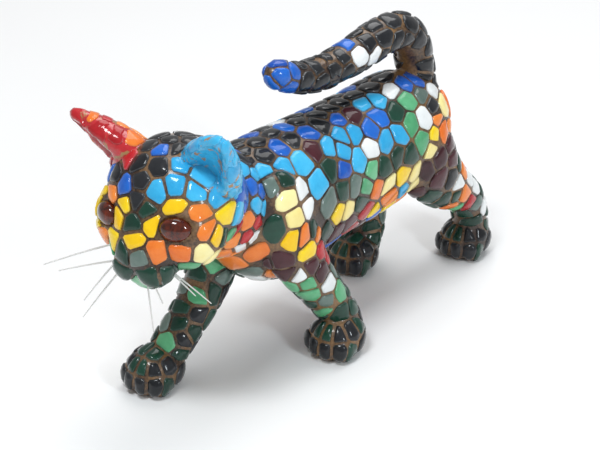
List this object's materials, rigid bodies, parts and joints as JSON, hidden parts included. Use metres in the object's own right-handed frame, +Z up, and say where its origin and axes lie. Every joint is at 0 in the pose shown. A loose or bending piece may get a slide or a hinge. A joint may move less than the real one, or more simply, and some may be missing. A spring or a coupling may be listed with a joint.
{
  "type": "mosaic cat figurine",
  "caption": "Walking cat figurine covered in glossy broken-tile mosaic, with a raised hooked tail, glass eyes and nylon whiskers; ornamental, stands on its flat soles.",
  "frame": {"origin": "centre of the bounding box's foot: the soles stand on Z = 0", "axes": "+Z up, the cat walks towards -Y, its left side is +X"},
  "size_m": [0.0866, 0.242, 0.1349],
  "materials": {
    "cast_resin": "brown grout over cast resin, sealed with clear lacquer",
    "pin_wood": "plain dowel",
    "eye_glass": "deep brown glass cabochon, backed dark",
    "whisker_nylon": "clear nylon monofilament",
    "glaze_black": "glossy black glaze",
    "glaze_cobalt": "glossy cobalt glaze",
    "glaze_cyan": "glossy cyan glaze",
    "glaze_white": "glossy white glaze",
    "glaze_dark_green": "glossy dark green glaze",
    "glaze_light_green": "glossy light green glaze",
    "glaze_grey_green": "glossy grey green glaze",
    "glaze_yellow": "glossy yellow glaze",
    "glaze_cream": "glossy cream glaze",
    "glaze_orange": "glossy orange glaze",
    "glaze_red": "glossy red glaze",
    "glaze_plum": "glossy plum glaze"
  },
  "bodies": {
    "root": {"ears_tiles_cyan": "glaze_cyan", "ears_tiles_orange": "glaze_orange", "ears_tiles_red": "glaze_red", "front_left_leg_core": "cast_resin", "front_left_pin": "pin_wood", "front_right_leg_core": "cast_resin", "front_right_pin": "pin_wood", "head_core": "cast_resin", "head_tiles_black": "glaze_black", "head_tiles_cobalt": "glaze_cobalt", "head_tiles_cream": "glaze_cream", "head_tiles_cyan": "glaze_cyan", "head_tiles_dark_green": "glaze_dark_green", "head_tiles_grey_green": "glaze_grey_green", "head_tiles_light_green": "glaze_light_green", "head_tiles_orange": "glaze_orange", "head_tiles_red": "glaze_red", "head_tiles_white": "glaze_white", "head_tiles_yellow": "glaze_yellow", "left_ear": "cast_resin", "left_eye": "eye_glass", "left_whiskers": "whisker_nylon", "legs_tiles_black": "glaze_black", "legs_tiles_cream": "glaze_cream", "legs_tiles_cyan": "glaze_cyan", "legs_tiles_dark_green": "glaze_dark_green", "legs_tiles_grey_green": "glaze_grey_green", "legs_tiles_light_green": "glaze_light_green", "legs_tiles_orange": "glaze_orange", "legs_tiles_plum": "glaze_plum", "legs_tiles_red": "glaze_red", "legs_tiles_white": "glaze_white", "legs_tiles_yellow": "glaze_yellow", "neck_pin": "pin_wood", "rear_left_leg_core": "cast_resin", "rear_left_pin": "pin_wood", "rear_right_leg_core": "cast_resin", "rear_right_pin": "pin_wood", "right_ear": "cast_resin", "right_eye": "eye_glass", "right_whiskers": "whisker_nylon", "tail_core": "cast_resin", "tail_pin": "pin_wood", "tail_tiles_black": "glaze_black", "tail_tiles_cobalt": "glaze_cobalt", "tail_tiles_white": "glaze_white", "torso_core": "cast_resin", "torso_tiles_black": "glaze_black", "torso_tiles_cobalt": "glaze_cobalt", "torso_tiles_cream": "glaze_cream", "torso_tiles_cyan": "glaze_cyan", "torso_tiles_dark_green": "glaze_dark_green", "torso_tiles_grey_green": "glaze_grey_green", "torso_tiles_light_green": "glaze_light_green", "torso_tiles_orange": "glaze_orange", "torso_tiles_plum": "glaze_plum", "torso_tiles_red": "glaze_red", "torso_tiles_white": "glaze_white", "torso_tiles_yellow": "glaze_yellow"}
  },
  "joints": []
}
